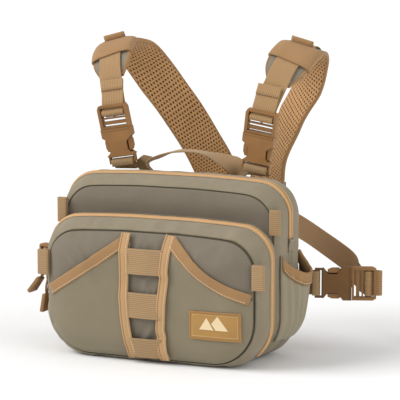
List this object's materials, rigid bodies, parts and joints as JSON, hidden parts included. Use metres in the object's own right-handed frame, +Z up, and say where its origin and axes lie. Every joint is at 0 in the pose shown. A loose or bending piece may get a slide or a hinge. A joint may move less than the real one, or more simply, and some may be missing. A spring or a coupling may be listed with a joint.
{
  "type": "binocular harness pack",
  "caption": "Chest pack for binoculars with zipped front pouch and main compartment, webbing ladder, padded shoulder straps and side-release buckles.",
  "frame": {"origin": "middle of the flat bottom that the pack rests on", "axes": "+Z up, the front of the pack faces -Y, +X to the right of someone looking at the front"},
  "size_m": [0.373, 0.252, 0.3079],
  "materials": {
    "nylon_green": "matte",
    "webbing_coyote": "matte",
    "pad_mesh": "matte",
    "zip_tape": "matte",
    "buckle_plastic": "satin",
    "pull_plastic": "satin",
    "slider_metal": "satin",
    "patch_gold": "matte",
    "stretch_fabric": "matte"
  },
  "bodies": {
    "pack": {"main_body": "nylon_green", "back_panel": "nylon_green", "inner_sleeve": "nylon_green", "front_pouch_base": "nylon_green", "front_zip_base_tape": "zip_tape", "main_zip_body_tape": "zip_tape", "webbing_ladder_foot": "webbing_coyote", "main_loop_left": "webbing_coyote", "main_loop_right": "webbing_coyote", "side_pocket_left": "stretch_fabric", "side_pocket_right": "stretch_fabric", "grab_handle": "webbing_coyote", "yoke": "nylon_green", "shoulder_buckle_left_female": "buckle_plastic", "waist_buckle_left_female": "buckle_plastic", "shoulder_pad_left": "pad_mesh", "shoulder_strap_left": "webbing_coyote", "strap_keeper_left": "webbing_coyote", "shoulder_anchor_left": "webbing_coyote", "waist_anchor_left": "webbing_coyote", "waist_strap_left": "webbing_coyote", "shoulder_buckle_right_female": "buckle_plastic", "waist_buckle_right_female": "buckle_plastic", "shoulder_pad_right": "pad_mesh", "shoulder_strap_right": "webbing_coyote", "strap_keeper_right": "webbing_coyote", "shoulder_anchor_right": "webbing_coyote", "waist_anchor_right": "webbing_coyote", "waist_strap_right": "webbing_coyote"},
    "pouch_lid": {"front_pouch_lid": "nylon_green", "front_zip_lid_tape": "zip_tape", "slip_pocket_left": "nylon_green", "slip_pocket_right": "nylon_green", "webbing_ladder": "webbing_coyote", "patch": "patch_gold", "pouch_loop_left": "webbing_coyote", "pouch_loop_right": "webbing_coyote"},
    "main_lid": {"main_lid": "nylon_green", "main_zip_lid_tape": "zip_tape"},
    "front_zip_upper_slider": {"front_zip_upper_slider": "slider_metal"},
    "front_zip_upper_pull": {"front_zip_upper_pull": "pull_plastic"},
    "front_zip_lower_slider": {"front_zip_lower_slider": "slider_metal"},
    "front_zip_lower_pull": {"front_zip_lower_pull": "pull_plastic"},
    "main_zip_slider": {"main_zip_slider": "slider_metal"},
    "main_zip_pull": {"main_zip_pull": "pull_plastic"},
    "shoulder_buckle_right_male": {"shoulder_buckle_right_male": "buckle_plastic", "shoulder_tail_right": "webbing_coyote"},
    "shoulder_buckle_right_arm_a": {"shoulder_buckle_right_arm_a": "buckle_plastic"},
    "shoulder_buckle_right_arm_b": {"shoulder_buckle_right_arm_b": "buckle_plastic"},
    "shoulder_buckle_left_male": {"shoulder_buckle_left_male": "buckle_plastic", "shoulder_tail_left": "webbing_coyote"},
    "shoulder_buckle_left_arm_a": {"shoulder_buckle_left_arm_a": "buckle_plastic"},
    "shoulder_buckle_left_arm_b": {"shoulder_buckle_left_arm_b": "buckle_plastic"},
    "waist_buckle_right_male": {"waist_buckle_right_male": "buckle_plastic"},
    "waist_buckle_right_arm_a": {"waist_buckle_right_arm_a": "buckle_plastic"},
    "waist_buckle_right_arm_b": {"waist_buckle_right_arm_b": "buckle_plastic"},
    "waist_buckle_left_male": {"waist_buckle_left_male": "buckle_plastic"},
    "waist_buckle_left_arm_a": {"waist_buckle_left_arm_a": "buckle_plastic"},
    "waist_buckle_left_arm_b": {"waist_buckle_left_arm_b": "buckle_plastic"}
  },
  "joints": [
    {"name": "pouch_lid_fold", "type": "hinge", "parent": "pack", "child": "pouch_lid", "pos_m": [0, -0.0665, 0.0275], "axis": [1, 0, 0], "range_deg": [0, 70]},
    {"name": "main_lid_fold", "type": "hinge", "parent": "pack", "child": "main_lid", "pos_m": [0, -0.012, 0.15], "axis": [1, 0, 0], "range_deg": [0, 80]},
    {"name": "front_zip_upper_slide", "type": "slide", "parent": "pack", "child": "front_zip_upper_slider", "axis": [0, 0, 1], "range_m": [0, 0.013]},
    {"name": "front_zip_upper_pull_swing", "type": "hinge", "parent": "front_zip_upper_slider", "child": "front_zip_upper_pull", "pos_m": [-0.1233, -0.03, 0.0804], "axis": [0, 1, 0], "range_deg": [-4, 54]},
    {"name": "front_zip_lower_slide", "type": "slide", "parent": "pack", "child": "front_zip_lower_slider", "axis": [0, 0, 1], "range_m": [-0.021, 0]},
    {"name": "front_zip_lower_pull_swing", "type": "hinge", "parent": "front_zip_lower_slider", "child": "front_zip_lower_pull", "pos_m": [-0.1233, -0.03, 0.0669], "axis": [0, 1, 0], "range_deg": [-3, 23]},
    {"name": "main_zip_slide", "type": "slide", "parent": "pack", "child": "main_zip_slider", "axis": [0, 0, 1], "range_m": [0, 0.01]},
    {"name": "main_zip_pull_swing", "type": "hinge", "parent": "main_zip_slider", "child": "main_zip_pull", "pos_m": [-0.1253, 0.01, 0.1234], "axis": [0, 1, 0], "range_deg": [-4, 80]},
    {"name": "shoulder_buckle_right_release", "type": "slide", "parent": "pack", "child": "shoulder_buckle_right_male", "axis": [0.1618, -0.1193, 0.9796], "range_m": [0, 0.024]},
    {"name": "shoulder_buckle_right_arm_a_press", "type": "hinge", "parent": "shoulder_buckle_right_male", "child": "shoulder_buckle_right_arm_a", "pos_m": [0.06579, 0.03371, 0.21725], "axis": [-0.0194, -0.9929, -0.1177], "range_deg": [0, 6], "stiffness_Nm_per_rad": 0.5},
    {"name": "shoulder_buckle_right_arm_b_press", "type": "hinge", "parent": "shoulder_buckle_right_male", "child": "shoulder_buckle_right_arm_b", "pos_m": [0.08986, 0.03371, 0.21328], "axis": [0.0194, 0.9929, 0.1177], "range_deg": [0, 6], "stiffness_Nm_per_rad": 0.5},
    {"name": "shoulder_buckle_left_release", "type": "slide", "parent": "pack", "child": "shoulder_buckle_left_male", "axis": [-0.1618, -0.1193, 0.9796], "range_m": [0, 0.024]},
    {"name": "shoulder_buckle_left_arm_a_press", "type": "hinge", "parent": "shoulder_buckle_left_male", "child": "shoulder_buckle_left_arm_a", "pos_m": [-0.06579, 0.03371, 0.21725], "axis": [-0.0194, 0.9929, 0.1177], "range_deg": [0, 6], "stiffness_Nm_per_rad": 0.5},
    {"name": "shoulder_buckle_left_arm_b_press", "type": "hinge", "parent": "shoulder_buckle_left_male", "child": "shoulder_buckle_left_arm_b", "pos_m": [-0.08986, 0.03371, 0.21328], "axis": [0.0194, -0.9929, -0.1177], "range_deg": [0, 6], "stiffness_Nm_per_rad": 0.5},
    {"name": "waist_buckle_right_release", "type": "slide", "parent": "pack", "child": "waist_buckle_right_male", "axis": [0.9398, 0.3416, 0], "range_m": [0, 0.024]},
    {"name": "waist_buckle_right_arm_a_press", "type": "hinge", "parent": "waist_buckle_right_male", "child": "waist_buckle_right_arm_a", "pos_m": [0.16283, 0.0633, 0.0822], "axis": [0.3416, -0.9398, 0], "range_deg": [0, 6], "stiffness_Nm_per_rad": 0.5},
    {"name": "waist_buckle_right_arm_b_press", "type": "hinge", "parent": "waist_buckle_right_male", "child": "waist_buckle_right_arm_b", "pos_m": [0.16283, 0.0633, 0.0578], "axis": [-0.3416, 0.9398, 0], "range_deg": [0, 6], "stiffness_Nm_per_rad": 0.5},
    {"name": "waist_buckle_left_release", "type": "slide", "parent": "pack", "child": "waist_buckle_left_male", "axis": [-0.9398, 0.3416, 0], "range_m": [0, 0.024]},
    {"name": "waist_buckle_left_arm_a_press", "type": "hinge", "parent": "waist_buckle_left_male", "child": "waist_buckle_left_arm_a", "pos_m": [-0.16283, 0.0633, 0.0822], "axis": [0.3416, 0.9398, 0], "range_deg": [0, 6], "stiffness_Nm_per_rad": 0.5},
    {"name": "waist_buckle_left_arm_b_press", "type": "hinge", "parent": "waist_buckle_left_male", "child": "waist_buckle_left_arm_b", "pos_m": [-0.16283, 0.0633, 0.0578], "axis": [-0.3416, -0.9398, 0], "range_deg": [0, 6], "stiffness_Nm_per_rad": 0.5}
  ],
  "couplings": [
    {"joint": "shoulder_buckle_right_arm_b_press", "follows": "shoulder_buckle_right_arm_a_press", "ratio": 1},
    {"joint": "shoulder_buckle_left_arm_b_press", "follows": "shoulder_buckle_left_arm_a_press", "ratio": 1},
    {"joint": "waist_buckle_right_arm_b_press", "follows": "waist_buckle_right_arm_a_press", "ratio": 1},
    {"joint": "waist_buckle_left_arm_b_press", "follows": "waist_buckle_left_arm_a_press", "ratio": 1}
  ]
}
